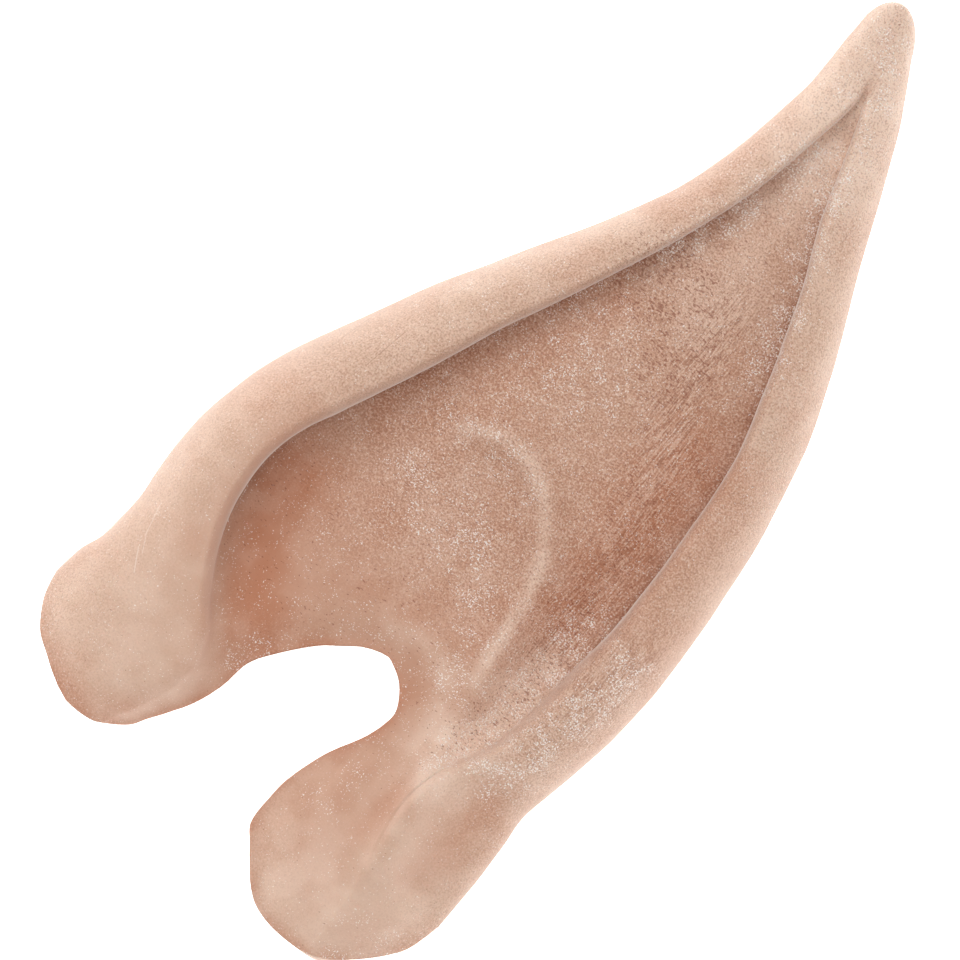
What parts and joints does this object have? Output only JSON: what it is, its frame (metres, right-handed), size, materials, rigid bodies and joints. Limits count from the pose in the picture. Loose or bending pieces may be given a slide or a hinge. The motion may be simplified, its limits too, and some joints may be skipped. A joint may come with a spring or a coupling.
{
  "type": "latex fairy ear",
  "caption": "Slip-on pointed costume ear of skin-coloured latex, with rolled rims, a ridged bowl, base lobes and an open pocket behind.",
  "frame": {"origin": "centre of the ear's outline, on the plane that its back rests on", "axes": "+Y along the ear from the lobes to the tip, +X towards the back of the wearer's head, +Z out of the front face"},
  "size_m": [0.058, 0.12, 0.021],
  "materials": {
    "latex": "matte"
  },
  "bodies": {
    "root": {"latex_ear": "latex"}
  },
  "joints": []
}
